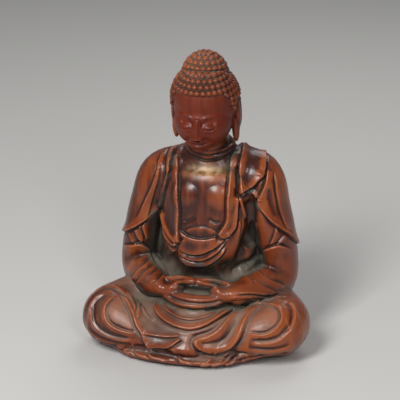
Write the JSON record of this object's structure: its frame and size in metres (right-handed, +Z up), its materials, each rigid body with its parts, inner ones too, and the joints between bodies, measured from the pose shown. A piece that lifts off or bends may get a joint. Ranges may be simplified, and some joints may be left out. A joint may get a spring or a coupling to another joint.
{
  "type": "seated buddha figurine",
  "caption": "Carved wooden figurine of a robed figure seated cross-legged in meditation, hands joined in the lap, curled hair with a topknot and long ear lobes, on a flat base.",
  "frame": {"origin": "centre of the bounding box, on the plane of the flat base", "axes": "+Z up, -Y the way the figure faces, +X the figure's left"},
  "size_m": [0.105, 0.0736, 0.1384],
  "materials": {
    "lacquered_wood": "dark red-brown lacquer, semi-gloss"
  },
  "bodies": {
    "root": {"statue": "lacquered_wood"}
  },
  "joints": []
}
